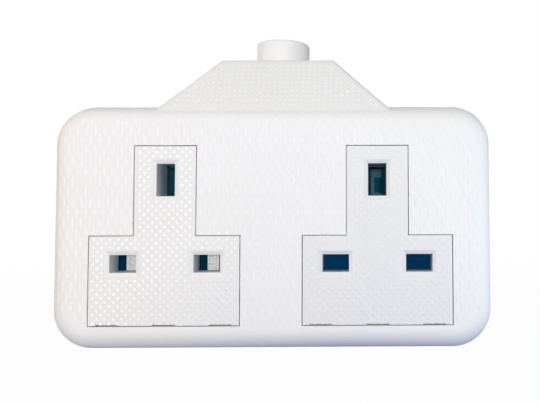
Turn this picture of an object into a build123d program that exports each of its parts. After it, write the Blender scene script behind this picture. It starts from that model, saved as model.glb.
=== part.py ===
from build123d import *
import os

# Twin trailing socket for rectangular three-pin plugs, standing as it is seen from the front.
# X runs to the right, Z runs up from the underside of the case, and the sockets face -Y.
# Sizes are in millimetres. A depth is measured back from the plane of the socket faces.

# Case
body_width = 117.9
body_height = 65.35
body_depth = 44.0
corner_radius = 10.5
front_edge_radius = 5.5
back_edge_radius = 2.0
wall = 2.5
lip_thickness = 1.2
lip_height = 1.5
lip_clearance = 0.2
seam_width = 0.4
seam_depth = 0.4

# Socket faces
face_side = 10.75
face_bottom = 6.55
face_height = 47.8
face_base_width = 40.1
face_base_height = 23.95
face_stem_width = 16.7
face_gap = 0.25
flange_overlap = 1.2
flange_thickness = 1.6
notch_width = 6.0
notch_pitch = 14.9
notch_count = 3
notch_depth = 0.35

# Pin slots
pin_spacing = 22.2
pin_row_height = 22.95
side_slot_width = 7.05
side_slot_height = 4.7
earth_slot_width = 4.9
earth_slot_height = 8.7
slot_chamfer = 1.0
slot_chamfer_depth = 0.45
shroud_wall = 1.2
shroud_depth = 6.5

# Shutters
run_gap = 0.3
shutter_thickness = 2.0
blade_cover = 0.15
blade_drop = 0.55
blade_slope = 0.8
finger_width = 3.15
bar_gap = 1.35
bar_height = 3.4
rail_thickness = 1.1
left_rest_shift = -5.1

# Contact carrier
carrier_plate = 2.0
carrier_margin = 1.2
boss_clearance = 0.8
carrier_side_gap = 0.6
chamber_wall = 1.2
chamber_gap = 1.0
clip_clearance = 0.3
stop_pin = 1.2
pin_stop_width = 3.6
pin_stop_thickness = 2.0
pin_stop_pocket = 1.2
pocket_left = 0.5
pocket_low = 3.2
pocket_high = 1.5
stop_inset = 2.7
pillar_inset = 8.5
pillar_drop = 6.0
pillar_radius = 2.5
screw_pillar_radius = 3.0

# Contacts
sheet = 0.8
strip_thickness = 1.0
side_clip_width = 6.4
earth_clip_width = 7.4
clip_mouth = 2.6
clip_throat = 1.7
clip_lead = 2.5
strip_back_gap = 7.5
strip_step = 3.0
strip_height = 4.0
strip_channel = 0.5
tab_width = 5.2
live_drop = 7.4
neutral_rise = 8.1
rivet_radius = 1.0
rivet_head_radius = 1.6
rivet_head_height = 0.6
fit_gap = 0.05

# Terminals
terminal_pitch = 11.0
terminal_width = 7.0
terminal_top_gap = 0.9
terminal_height = 8.0
terminal_thickness = 6.0
terminal_wire_radius = 1.75
terminal_peg_radius = 1.2
terminal_screw_rise = 2.0

# Cord entry
hood_bottom_width = 61.5
hood_top_width = 31.8
hood_height = 14.4
hood_front = 2.5
hood_taper = 8.0
hood_edge_radius = 1.5
hood_floor = 1.5
notch_half = 14.0
notch_front = 6.0
key_clearance = 0.15
key_flange = 1.6
key_overlap = 2.0
passage_half = 11.5
passage_reach = 9.0
hood_screw_spacing = 38.0
hood_screw_rise = 4.5

# Gland and cord clamp
gland_diameter = 16.3
gland_bore = 9.5
gland_reach = 7.0
gland_rim_radius = 0.8
gland_flange_diameter = 21.0
gland_flange_width = 16.3
gland_flange_thickness = 2.5
clamp_rise = 5.0
clamp_height = 5.6
clamp_screw_spacing = 21.0
clamp_lift = 1.5
clamp_thickness = 5.6
clamp_bore_clearance = 0.6
clamp_corner_radius = 0.8
clamp_end = 0.9
clamp_head_radius = 2.2
saddle_half = 6.0

# Screws
boss_radius = 2.8
boss_inset_x = 5.7
boss_inset_z = 9.5
shank_radius = 1.45
screw_head_radius = 2.8
screw_head_height = 2.2
screw_recess_depth = 3.0
recess_clearance = 0.2
pilot_clearance = 0.05
seat_wall = 1.4
screw_tip_cover = 3.2
pan_head_radius = 2.6
pan_head_height = 2.0
carrier_screw_length = 12.0
clamp_screw_length = 12.0
recess_width = 0.8
recess_length = 3.0
recess_depth = 1.1
pilot_extra = 0.6

# Places worked out from the sizes above
part_line = body_depth / 2
inner_back = body_depth - wall
flange_back = wall + flange_thickness
shutter_front = shroud_depth + run_gap
shutter_back = shutter_front + shutter_thickness
carrier_front = shutter_back + run_gap
carrier_back = carrier_front + carrier_plate
earth_depth = inner_back - strip_back_gap - strip_thickness
live_depth = earth_depth - strip_step
neutral_depth = live_depth - strip_step
chamber_back = neutral_depth - chamber_gap
earth_shroud_depth = carrier_front - run_gap
clip_front = carrier_back + clip_clearance
earth_height = pin_row_height + pin_spacing
blade_width = side_slot_width + 2 * blade_cover
blade_bottom = pin_row_height - side_slot_height / 2 - blade_drop
bar_bottom = pin_row_height + side_slot_height / 2 + bar_gap
bar_top = bar_bottom + bar_height
shutter_travel = blade_width / 2 + finger_width + side_slot_width / 2 + run_gap
bar_right = pin_spacing / 2 + blade_width / 2 + finger_width
bar_left = -pin_spacing / 2 - blade_width / 2
bar_middle = bar_bottom + bar_height / 2
stop_x = bar_left + stop_inset
boss_x = body_width / 2 - boss_inset_x
side_chamber_half = clip_mouth + sheet + clip_clearance
earth_chamber_half = earth_clip_width / 2 + clip_clearance
carrier_bottom = pin_row_height - side_chamber_half - chamber_wall - carrier_margin
carrier_top = earth_height + earth_chamber_half + chamber_wall + carrier_margin
hood_top = body_height + hood_height
hood_back = body_depth - hood_front
hood_lean = hood_taper / hood_height
hood_screw_seat = hood_back - hood_lean * hood_screw_rise - screw_recess_depth
hood_screw_tip = hood_front + hood_lean * hood_screw_rise + screw_tip_cover
case_screw_length = hood_screw_seat - hood_screw_tip
gland_top = hood_top + gland_reach
gland_seat = hood_top - wall
clamp_middle = body_height + clamp_rise
clamp_seat = part_line - clamp_lift
clamp_front = clamp_seat - clamp_thickness
clamp_head_seat = clamp_front + pan_head_height
terminal_top = body_height - wall - key_flange - terminal_top_gap
terminal_bottom = terminal_top - terminal_height
socket_x = body_width / 2 - face_side - face_base_width / 2
socket_centres = {"left": -socket_x, "right": socket_x}
rest_shift = {"left": left_rest_shift, "right": 0.0}
line_depth = {"live": live_depth, "neutral": neutral_depth, "earth": earth_depth}
pin_offset = {"live": pin_spacing / 2, "neutral": -pin_spacing / 2, "earth": 0.0}
pin_height = {"live": pin_row_height, "neutral": pin_row_height, "earth": earth_height}
terminal_x = {"live": terminal_pitch, "neutral": -terminal_pitch, "earth": 0.0}
boss_places = [(x, z) for x in (-boss_x, boss_x) for z in (boss_inset_z, body_height - boss_inset_z)]
hood_screw_z = body_height + hood_screw_rise
hood_screw_places = [(x, hood_screw_z) for x in (-hood_screw_spacing / 2, hood_screw_spacing / 2)]
clamp_screw_places = [(x, clamp_middle) for x in (-clamp_screw_spacing / 2, clamp_screw_spacing / 2)]
pillar_x = body_width / 2 - pillar_inset
pillar_top_row = earth_height - pillar_drop
carrier_screw_places = [(-pillar_x, pillar_top_row), (pillar_x, pillar_top_row)]
pillar_places = [(x, pin_row_height) for x in (-pillar_x, 0, pillar_x)] + [(0, pillar_top_row)]


def slab(outline, front, back):
    """Solid with a front-view outline, X right and Z up, between two depths."""
    plane = Plane.XZ.offset(body_depth / 2 - back)
    return extrude(plane * outline, back - front)


def rect(x0, x1, z0, z1):
    """Front-view rectangle between two X and two Z values."""
    return Pos((x0 + x1) / 2, (z0 + z1) / 2) * Rectangle(x1 - x0, z1 - z0)


def disc(x, z, radius):
    """Front-view circle."""
    return Pos(x, z) * Circle(radius)


def upright(radius, bottom, top):
    """Vertical cylinder on the cord's axis, which lies in the part line."""
    middle = Pos(0, part_line - body_depth / 2, (bottom + top) / 2)
    return middle * Cylinder(radius, top - bottom)


def case_outline(inset):
    """Rounded outline of the case, shrunk by an inset."""
    corner = RectangleRounded(body_width - 2 * inset, body_height - 2 * inset, corner_radius - inset)
    return Pos(0, body_height / 2) * corner


def tee(centre, grow):
    """T outline of a socket face, grown by a margin."""
    base_half = face_base_width / 2 + grow
    stem_half = face_stem_width / 2 + grow
    low = face_bottom - grow
    base = rect(centre - base_half, centre + base_half, low, face_bottom + face_base_height + grow)
    stem = rect(centre - stem_half, centre + stem_half, low, face_bottom + face_height + grow)
    return base + stem


def slot_size(line):
    """Width and height of one line's pin slot."""
    if line == "earth":
        return earth_slot_width, earth_slot_height
    return side_slot_width, side_slot_height


def slot_outline(centre, line, grow=0.0):
    """Outline of one pin slot of the socket at this centre, grown by a margin."""
    width, height = slot_size(line)
    place = Pos(centre + pin_offset[line], pin_height[line])
    return place * Rectangle(width + 2 * grow, height + 2 * grow)


def trapezium(low_half, top_half, bottom, top):
    """Upright symmetrical trapezium from its half widths."""
    corners = [(-low_half, bottom), (low_half, bottom), (top_half, top), (-top_half, top)]
    return Polygon(*corners, align=None)


def hood_half_width(z):
    """Half width of the cord entry housing at a height."""
    share = (z - body_height) / hood_height
    return (hood_bottom_width + (hood_top_width - hood_bottom_width) * share) / 2


def hood_block(inset, bottom, top):
    """Housing of the cord entry, tapered on all four sides, with its faces moved in by an inset."""
    run = (hood_bottom_width - hood_top_width) / 2
    side_inset = inset * (1 + (run / hood_height) ** 2) ** 0.5
    face_inset = inset * (1 + (hood_taper / hood_height) ** 2) ** 0.5
    low_half = hood_half_width(bottom) - side_inset
    top_half = hood_half_width(top) - side_inset
    prism = slab(trapezium(low_half, top_half, bottom, top), 0, body_depth)
    low_reach = part_line - hood_front - hood_lean * (bottom - body_height) - face_inset
    top_reach = part_line - hood_front - hood_lean * (top - body_height) - face_inset
    side_view = trapezium(low_reach, top_reach, bottom, top)
    wedge = extrude(Plane.YZ * side_view, body_width / 2, both=True)
    return prism & wedge


def hood_shell():
    """Whole cord entry housing before it is split, with its outer edges rounded and its foot still in the case."""
    block = hood_block(0, body_height - front_edge_radius / 2, hood_top)
    rim = [edge for edge in block.edges() if edge.center().Z > body_height + hood_edge_radius]
    return fillet(rim, hood_edge_radius)


def hood_cavity():
    """Room inside the cord entry housing, the way down into the case and the hole for the gland."""
    room = hood_block(wall, body_height + hood_floor, gland_seat)
    way = rect(-passage_half, passage_half, body_height - wall - key_flange, body_height + hood_floor)
    room += slab(way, part_line - passage_reach, part_line + passage_reach)
    return room + upright(gland_diameter / 2 + fit_gap, gland_seat, gland_top)


def screw(x, z, seat, head_radius, head_height, length, back=False):
    """Cross-head screw with its head resting on a seat depth, driven from the front or from the back."""
    way = -1 if back else 1
    head_end = seat - way * head_height
    head = slab(disc(x, z, head_radius), min(seat, head_end), max(seat, head_end))
    shank_end = seat + way * length
    body = head + slab(disc(x, z, shank_radius), min(seat, shank_end), max(seat, shank_end))
    recess_end = head_end + way * recess_depth
    cross = Rectangle(recess_length, recess_width) + Rectangle(recess_width, recess_length)
    return body - slab(Pos(x, z) * cross, min(head_end, recess_end), max(head_end, recess_end))


def cover_block():
    """Front half of the case before it is hollowed, with its front edge rounded."""
    block = slab(case_outline(0), 0, part_line)
    return fillet(block.faces().sort_by(Axis.Y)[0].edges(), front_edge_radius)


def front_cover():
    """Front shell with two T windows, four screw bosses and a notch for the cord entry."""
    shell = cover_block() - slab(case_outline(wall), wall, part_line)
    for x, z in boss_places:
        shell += slab(disc(x, z, boss_radius), wall, part_line)
    for centre in socket_centres.values():
        shell -= slab(tee(centre, 0), 0, wall)
    tip = body_depth - screw_recess_depth - case_screw_length - pilot_extra
    for x, z in boss_places:
        shell -= slab(disc(x, z, shank_radius + pilot_clearance), tip, part_line)
    notch = rect(-notch_half, notch_half, body_height - wall, body_height)
    return shell - slab(notch, notch_front, part_line)


def socket_face(centre):
    """T face with its flange, pin shrouds, shutter rails, chamfered slots and lower notches."""
    face = slab(tee(centre, -face_gap), 0, wall) + slab(tee(centre, flange_overlap), wall, flange_back)
    for line in pin_offset:
        end = earth_shroud_depth if line == "earth" else shroud_depth
        face += slab(slot_outline(centre, line, shroud_wall), flange_back, end)
    reach = face_base_width / 2 + flange_overlap
    for low in (bar_top + run_gap, blade_bottom - run_gap - rail_thickness):
        rail = rect(centre - reach, centre + reach, low, low + rail_thickness)
        face += slab(rail, flange_back, carrier_front)
    for line in pin_offset:
        face -= slab(slot_outline(centre, line), 0, earth_shroud_depth)
    front = face.faces().sort_by(Axis.Y)[0]
    rims = [edge for mouth in front.inner_wires() for edge in mouth.edges()]
    face = chamfer(rims, slot_chamfer, slot_chamfer_depth, reference=front)
    first = centre - notch_pitch * (notch_count - 1) / 2
    for index in range(notch_count):
        middle = first + index * notch_pitch
        top = face_bottom + face_gap + notch_depth
        face -= slab(rect(middle - notch_width / 2, middle + notch_width / 2, face_bottom, top), 0, wall)
    return face


def shutter_slide(centre):
    """Bar behind the socket face with a finger hanging beside each blade and a slot for its stop pin."""
    outline = rect(centre + bar_left, centre + bar_right, bar_bottom, bar_top)
    for middle in (centre - pin_spacing / 2, centre + pin_spacing / 2):
        start = middle + blade_width / 2
        outline += rect(start, start + finger_width, blade_bottom, bar_bottom)
    room = stop_pin / 2 + run_gap
    slot_start = centre + stop_x - room
    slot_end = centre + stop_x + shutter_travel + room
    outline -= rect(slot_start, slot_end, bar_middle - room, bar_middle + room)
    return slab(outline, shutter_front, shutter_back)


def shutter_blades(centre):
    """Two blades that close the side slots, each with a sloping front for the pin to push."""
    blades = []
    for middle in (centre - pin_spacing / 2, centre + pin_spacing / 2):
        x0 = middle - blade_width / 2
        x1 = middle + blade_width / 2
        front = shutter_front - body_depth / 2
        back = shutter_back - body_depth / 2
        plan = Polygon((x0, front), (x1, front + blade_slope), (x1, back), (x0, back), align=None)
        blades.append(extrude(Plane.XY.offset(blade_bottom) * plan, bar_bottom - blade_bottom))
    return Compound(children=blades)


def chamber_outline(centre, line, grow):
    """Outline of the chamber round one clip."""
    across = 2 * (side_chamber_half + grow)
    place = Pos(centre + pin_offset[line], pin_height[line])
    if line == "earth":
        return place * Rectangle(across, 2 * (earth_chamber_half + grow))
    return place * Rectangle(side_clip_width + 2 * (clip_clearance + grow), across)


def earth_pin_stop(centre):
    """Bar across the back of the earth chamber, between the leaves of the clip, with a shallow pocket in its front."""
    half = pin_stop_width / 2
    reach = earth_chamber_half + chamber_wall
    front = chamber_back - pin_stop_thickness
    bar = slab(rect(centre - half, centre + half, earth_height - reach, earth_height + reach), front, chamber_back)
    pocket = rect(centre - pocket_left, centre + half, earth_height - pocket_low, earth_height + pocket_high)
    return bar - slab(pocket, front, front + pin_stop_pocket)


def contact_carrier():
    """Insulating plate with a chamber behind each slot, and a pin that stops each shutter at both ends."""
    half = body_width / 2 - wall - carrier_side_gap
    block = slab(rect(-half, half, carrier_bottom, carrier_top), carrier_front, carrier_back)
    for centre in socket_centres.values():
        for line in pin_offset:
            block += slab(chamber_outline(centre, line, chamber_wall), carrier_back, chamber_back)
            block -= slab(chamber_outline(centre, line, 0), carrier_back, chamber_back)
            block -= slab(slot_outline(centre, line), carrier_front, carrier_back)
        block += earth_pin_stop(centre)
        pin = Pos(centre + stop_x, bar_middle) * Rectangle(stop_pin, stop_pin)
        block += slab(pin, shutter_front + run_gap, carrier_front)
    for x, z in carrier_screw_places:
        block -= slab(disc(x, z, shank_radius + pilot_clearance), carrier_front, carrier_back)
    room = boss_radius + boss_clearance
    for x0, x1 in ((-half, room - boss_x), (boss_x - room, half)):
        block -= slab(rect(x0, x1, 0, boss_inset_z + room), carrier_front, carrier_back)
        high = body_height - boss_inset_z - room
        block -= slab(rect(x0, x1, high, body_height), carrier_front, carrier_back)
    return block


def contact_clip(centre, line):
    """Folded clip with two springy leaves that grip the pin, and a rivet hole in its back."""
    length = line_depth[line] - clip_front
    mouth = clip_mouth + sheet
    throat = clip_throat + sheet
    outline = Polygon(
        (clip_mouth, 0), (mouth, 0), (throat, clip_lead), (mouth, length),
        (-mouth, length), (-throat, clip_lead), (-mouth, 0), (-clip_mouth, 0),
        (-clip_throat, clip_lead), (-clip_mouth, length - sheet),
        (clip_mouth, length - sheet), (clip_throat, clip_lead),
        align=None,
    )
    x = centre + pin_offset[line]
    z = pin_height[line]
    start = clip_front - body_depth / 2
    if line == "earth":
        plane = Plane(origin=(x, start, z), x_dir=(1, 0, 0), z_dir=(0, 0, 1))
        width = earth_clip_width
    else:
        plane = Plane(origin=(x, start, z), x_dir=(0, 0, -1), z_dir=(1, 0, 0))
        width = side_clip_width
    clip = extrude(plane * outline, width / 2, both=True)
    hole = disc(x, z, rivet_radius + fit_gap)
    return clip - slab(hole, line_depth[line] - sheet, line_depth[line])


def contact_strip(line):
    """Flat strip that joins the two clips of one line and rises to its terminal."""
    places = [centre + pin_offset[line] for centre in socket_centres.values()]
    z = pin_height[line]
    if line == "live":
        bar_low = z - live_drop - strip_height / 2
        tab_low, tab_high = bar_low, z + tab_width / 2
    elif line == "neutral":
        bar_low = z + neutral_rise - strip_height / 2
        tab_low, tab_high = z - tab_width / 2, bar_low + strip_height
    else:
        bar_low = z - strip_height / 2
        tab_low, tab_high = z - tab_width / 2, z + tab_width / 2
    outline = rect(min(places), max(places), bar_low, bar_low + strip_height)
    for x in places:
        outline += rect(x - tab_width / 2, x + tab_width / 2, tab_low, tab_high)
    riser = terminal_x[line]
    outline += rect(riser - strip_height / 2, riser + strip_height / 2, bar_low, terminal_top)
    front = line_depth[line]
    strip = slab(outline, front, front + strip_thickness)
    for x in places:
        strip -= slab(disc(x, z, rivet_radius + fit_gap), front, front + strip_thickness)
    peg_z = terminal_bottom + terminal_height / 2
    return strip - slab(disc(riser, peg_z, terminal_peg_radius + fit_gap), front, front + strip_thickness)


def contact_rivet(centre, line):
    """Rivet that holds one clip on its strip."""
    x = centre + pin_offset[line]
    z = pin_height[line]
    inside = line_depth[line] - sheet
    outside = line_depth[line] + strip_thickness
    rivet = slab(disc(x, z, rivet_radius), inside, outside)
    rivet += slab(disc(x, z, rivet_head_radius), inside - rivet_head_height, inside)
    return rivet + slab(disc(x, z, rivet_head_radius), outside, outside + rivet_head_height)


def terminal_outline(line):
    """Front-view outline of one terminal block and of the platform behind it."""
    x = terminal_x[line]
    return rect(x - terminal_width / 2, x + terminal_width / 2, terminal_bottom, terminal_top)


def terminal_screw_z():
    """Height of the terminal screws."""
    return terminal_bottom + terminal_height / 2 + terminal_screw_rise


def terminal(line):
    """Brass terminal block with a wire hole, a tapped hole and a peg staked into its strip."""
    x = terminal_x[line]
    back = line_depth[line]
    front = back - terminal_thickness
    block = slab(terminal_outline(line), front, back)
    peg_z = terminal_bottom + terminal_height / 2
    block += slab(disc(x, peg_z, terminal_peg_radius), back, back + strip_thickness)
    middle = (front + back) / 2
    wire = Pos(x, middle - body_depth / 2, (terminal_bottom + terminal_top) / 2)
    block -= wire * Cylinder(terminal_wire_radius, terminal_height)
    return block - slab(disc(x, terminal_screw_z(), shank_radius + pilot_clearance), front, middle)


def terminal_screw(line):
    """Screw that presses the wire in one terminal."""
    seat = line_depth[line] - terminal_thickness
    length = terminal_thickness / 2 - terminal_wire_radius / 2
    return screw(terminal_x[line], terminal_screw_z(), seat, pan_head_radius, pan_head_height, length)


def cord_entry_cover():
    """Front half of the cord entry housing, which sits on the cover's rounded edge and is keyed into its notch."""
    front_half = rect(-body_width / 2, body_width / 2, 0, gland_top)
    cover = (hood_shell() & slab(front_half, 0, part_line)) - cover_block()
    key_half = notch_half - key_clearance
    key = rect(-key_half, key_half, body_height - wall, body_height)
    cover += slab(key, notch_front + key_clearance, part_line)
    lock_half = notch_half + key_overlap
    lock = rect(-lock_half, lock_half, body_height - wall - key_flange, body_height - wall)
    cover += slab(lock, notch_front - key_overlap, part_line)
    for x, z in hood_screw_places:
        boss = slab(disc(x, z, boss_radius), 0, part_line)
        cover += boss & hood_block(wall / 2, body_height + hood_floor / 2, gland_seat)
    cover -= hood_cavity() - hood_bosses()
    for x, z in hood_screw_places:
        cover -= slab(disc(x, z, shank_radius + pilot_clearance), hood_screw_tip - pilot_extra, part_line)
    return cover


def hood_bosses():
    """Columns inside the cord entry housing that take its two screws."""
    columns = [slab(disc(x, z, boss_radius), 0, body_depth) for x, z in hood_screw_places]
    return columns[0] + columns[1]


def rear_base():
    """Back shell with the rear half of the cord entry, screw bosses, pillars and terminal platforms."""
    shell = slab(case_outline(0), part_line, body_depth)
    shell = fillet(shell.faces().sort_by(Axis.Y)[-1].edges(), back_edge_radius)
    shell -= slab(case_outline(wall), part_line, inner_back)
    shell += base_posts()
    shell += base_lips()
    rear_half = rect(-body_width / 2, body_width / 2, body_height, gland_top)
    shell += hood_shell() & slab(rear_half, part_line, body_depth)
    behind = slab(rect(-body_width / 2, body_width / 2, 0, gland_top), part_line, body_depth)
    shell -= (hood_cavity() & behind) - hood_bosses()
    shell += clamp_posts()
    return shell - base_holes() - seam_groove()


def seam_groove():
    """Fine groove round the front edge of the base and of its half of the cord entry, where the case parts."""
    back = part_line + seam_width
    frame = slab(case_outline(0) - case_outline(seam_depth), part_line, back)
    rim = hood_shell() - hood_block(seam_depth, body_height, hood_top - seam_depth)
    return frame + (rim & slab(rect(-body_width / 2, body_width / 2, body_height, gland_top), part_line, back))


def base_posts():
    """Columns on the back wall that carry the case screws, the carrier and the terminals."""
    parts = []
    for x, z in boss_places:
        parts.append(slab(disc(x, z, screw_head_radius + seat_wall), part_line, inner_back))
    for x, z in carrier_screw_places:
        parts.append(slab(disc(x, z, screw_pillar_radius), carrier_back, inner_back))
    for x, z in pillar_places:
        parts.append(slab(disc(x, z, pillar_radius), carrier_back, inner_back))
    for line in terminal_x:
        parts.append(slab(terminal_outline(line), line_depth[line] + strip_thickness, inner_back))
    reach = socket_x + tab_width / 2 + strip_channel
    half = tab_width / 2 + strip_channel
    channel = rect(-reach, reach, earth_height - half, earth_height + half)
    return Part() + parts - slab(channel, earth_depth - strip_channel, earth_depth + strip_thickness)


def base_lips():
    """Low ribs that locate the base inside the front cover, on both sides and along the bottom."""
    outer = wall + lip_clearance
    inner = outer + lip_thickness
    side = body_width / 2
    clear = boss_inset_z + screw_head_radius + seat_wall + carrier_margin
    end = boss_x - screw_head_radius - seat_wall - carrier_margin
    top = body_height - clear
    lips = Part()
    for near, front, back in ((outer, part_line - lip_height, part_line),
                              (wall, part_line, part_line + lip_height)):
        lips += slab(rect(near - side, inner - side, clear, top), front, back)
        lips += slab(rect(side - inner, side - near, clear, top), front, back)
        lips += slab(rect(-end, end, near, inner), front, back)
    return lips


def clamp_posts():
    """Two pillars for the cord clamp's screws and a saddle behind the cord."""
    posts = [slab(disc(x, z, boss_radius), clamp_seat, body_depth) for x, z in clamp_screw_places]
    low = clamp_middle - clamp_height / 2
    high = clamp_middle + clamp_height / 2
    saddle = slab(rect(-saddle_half, saddle_half, low, high), part_line + clamp_lift, body_depth)
    saddle -= upright(gland_bore / 2 + clamp_bore_clearance, low, high)
    return (Part() + posts + saddle) & hood_block(wall / 2, body_height + hood_floor / 2, gland_seat)


def base_holes():
    """Screw holes and recesses of the base."""
    hole = shank_radius + pilot_clearance
    recess = screw_head_radius + recess_clearance
    parts = []
    seats = [(x, z, body_depth - screw_recess_depth) for x, z in boss_places]
    seats += [(x, z, hood_screw_seat) for x, z in hood_screw_places]
    for x, z, seat in seats:
        parts.append(slab(disc(x, z, hole), part_line, seat))
        parts.append(slab(disc(x, z, recess), seat, body_depth))
    for x, z in carrier_screw_places:
        tip = carrier_front + carrier_screw_length + pilot_extra
        parts.append(slab(disc(x, z, hole), carrier_back, tip))
    for x, z in clamp_screw_places:
        tip = clamp_head_seat + clamp_screw_length + pilot_extra
        parts.append(slab(disc(x, z, hole), clamp_seat, tip))
    return Part() + parts


def cable_gland():
    """Round bush for the cord, with a flat-sided flange held under the top of the housing."""
    bush = upright(gland_diameter / 2, gland_seat, gland_top)
    bush = fillet(bush.edges().group_by(Axis.Z)[-1], gland_rim_radius)
    low = gland_seat - gland_flange_thickness
    flange = upright(gland_flange_diameter / 2, low, gland_seat)
    half = gland_flange_width / 2
    band = rect(-gland_flange_diameter, gland_flange_diameter, low, gland_seat)
    sides = slab(band, part_line - half, part_line + half)
    return bush + (flange & sides) - upright(gland_bore / 2, low, gland_top)


def cord_clamp():
    """Bar that presses the cord into its saddle, arched in the middle."""
    recess = clamp_head_radius + recess_clearance
    half = clamp_screw_spacing / 2 + recess + clamp_end
    low = clamp_middle - clamp_height / 2
    high = clamp_middle + clamp_height / 2
    bar = slab(rect(-half, half, low, high), clamp_front, clamp_seat)
    bar = fillet(bar.edges().filter_by(Axis.Y), clamp_corner_radius)
    bar -= upright(gland_bore / 2 + clamp_bore_clearance, low, high)
    for x, z in clamp_screw_places:
        bar -= slab(disc(x, z, shank_radius + pilot_clearance), clamp_front, clamp_seat)
        bar -= slab(disc(x, z, recess), clamp_front, clamp_head_seat)
    return bar


def case_screws():
    """Four corner screws and two at the cord entry, all driven from the back."""
    size = (screw_head_radius, screw_head_height, case_screw_length)
    screws = [screw(x, z, body_depth - screw_recess_depth, *size, back=True) for x, z in boss_places]
    screws += [screw(x, z, hood_screw_seat, *size, back=True) for x, z in hood_screw_places]
    return Compound(children=screws)


def pan_screws(places, seat, head_radius, length):
    """Group of equal pan-head screws driven from the front."""
    size = (head_radius, pan_head_height, length)
    return Compound(children=[screw(x, z, seat, *size) for x, z in places])


def clamp_screws():
    """Two screws sunk into the cord clamp."""
    return pan_screws(clamp_screw_places, clamp_head_seat, clamp_head_radius, clamp_screw_length)


def carrier_screws():
    """Two screws that hold the contact carrier on its pillars."""
    return pan_screws(carrier_screw_places, carrier_front, pan_head_radius, carrier_screw_length)


def build():
    """All pieces by name."""
    pieces = {
        "front_cover": front_cover(),
        "rear_base": rear_base(),
        "cord_entry_cover": cord_entry_cover(),
        "cable_gland": cable_gland(),
        "contact_carrier": contact_carrier(),
        "cord_clamp": cord_clamp(),
        "cord_clamp_screws": clamp_screws(),
        "carrier_screws": carrier_screws(),
        "case_screws": case_screws(),
    }
    rivets = []
    for line in pin_offset:
        pieces[f"{line}_strip"] = contact_strip(line)
        pieces[f"{line}_terminal"] = terminal(line)
        for side, centre in socket_centres.items():
            pieces[f"{line}_clip_{side}"] = contact_clip(centre, line)
            rivets.append(contact_rivet(centre, line))
    pieces["contact_rivets"] = Compound(children=rivets)
    pieces["terminal_screws"] = Compound(children=[terminal_screw(line) for line in pin_offset])
    for side, centre in socket_centres.items():
        pieces[f"socket_face_{side}"] = socket_face(centre)
        pieces[f"shutter_slide_{side}"] = shutter_slide(centre + rest_shift[side])
        pieces[f"shutter_blades_{side}"] = shutter_blades(centre + rest_shift[side])
    return pieces


os.makedirs("parts", exist_ok=True)
for name, piece in build().items():
    export_step(piece, f"parts/{name}.step")
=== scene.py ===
import math

import bmesh
import bpy
from bpy.props import FloatProperty, FloatVectorProperty, IntProperty, PointerProperty
from mathutils import Matrix, Vector


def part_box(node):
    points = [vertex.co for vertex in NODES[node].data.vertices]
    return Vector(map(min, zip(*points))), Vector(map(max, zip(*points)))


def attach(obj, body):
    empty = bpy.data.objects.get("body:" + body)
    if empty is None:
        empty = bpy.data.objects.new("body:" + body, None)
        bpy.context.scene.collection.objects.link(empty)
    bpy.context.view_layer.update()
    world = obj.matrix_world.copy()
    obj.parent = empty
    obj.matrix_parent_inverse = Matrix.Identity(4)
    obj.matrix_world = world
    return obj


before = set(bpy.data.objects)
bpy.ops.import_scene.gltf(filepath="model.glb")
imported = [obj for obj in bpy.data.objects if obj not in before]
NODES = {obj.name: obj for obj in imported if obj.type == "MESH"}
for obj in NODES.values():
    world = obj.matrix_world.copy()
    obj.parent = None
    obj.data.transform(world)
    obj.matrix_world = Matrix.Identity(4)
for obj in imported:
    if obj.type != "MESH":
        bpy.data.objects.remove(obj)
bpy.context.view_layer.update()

bl_info = {
    "name": "Twin Trailing Socket",
    "version": (1, 0, 0),
    "blender": (4, 5, 0),
    "location": "3D View > Sidebar > Trailing Socket",
    "description": "Dresses the packed trailing socket with its moulded grip, finishes and studio",
    "category": "Object",
}

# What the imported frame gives

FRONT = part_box("front_cover")[0].y
CASE_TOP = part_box("front_cover")[1].z
CASE_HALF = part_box("front_cover")[1].x

# Units, directions and plain values

MM = 0.001
UP = (0.0, 0.0, 1.0)
INWARDS = (0.0, 1.0, 0.0)
RIGHT_DOWN = (1.0, 0.0, -1.0)
STOOD_UP = (math.pi / 2, 0.0, 0.0)
WHITE = (1.0, 1.0, 1.0, 1.0)

# How the relief is laid: the lattices stand off in front of the case and are cast back onto it

STAND_OFF = 20 * MM
RAY_LENGTH = 200 * MM
ROUND_DEPTH = 4 * MM
STAGGERED, SQUARE = (0.0, 0.5), (0.0,)
LOZENGE_ROW_STEPS, STEPS_TO_MIDDLE = 12, 4
LOZENGE_CORNERS, LOZENGE_TOP_SHARE = 4, 0.5
LOZENGE_FOOT = 0.03 * MM
PIP_RINGS = 6
PRISM_LEAD, PRISM_DEPTH = 5 * MM, 15 * MM
MERGE_DISTANCE = 1e-7
FRONT_FACING, SAME_PLANE = -0.5, 0.9999

# Where a colour turns into another: a direction with the start and end along it; each fade paints light or
# shade

# The left pips' painted highlight fades into the face colour towards the lower right: painted light fall-off
LEFT_FADE = (RIGHT_DOWN, -54 * MM, -25 * MM)
# The right pips' painted highlight fades into the face colour towards the lower right: painted light fall-off
RIGHT_FADE = (RIGHT_DOWN, -10 * MM, 18 * MM)
# The lozenges' painted highlight fades into the case colour towards the lower right: painted light fall-off
COVER_FADE = (RIGHT_DOWN, -35 * MM, 5 * MM)
# The slot walls darken inwards to a blue grey: painted shade
WALL_FADE = (INWARDS, FRONT + 2 * MM, FRONT + 6 * MM)
# Depth before which the carrier is painted paler: painted light on its front
PAINTED_LIGHT_EDGE = 2.6 * MM

# Finish values: streaks in cycles per metre along each axis

PLASTIC_IOR = 1.5
NOISE_LOW, NOISE_HIGH = 0.3, 0.7
SLIDE_STREAKS = (60.0, 900.0, 900.0)
DRAWN_STREAKS = (200.0, 3000.0, 3000.0)
TURNED_STREAKS = (1500.0, 1500.0, 1500.0)

# Studio: each lamp's name, kind, place and size

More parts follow.
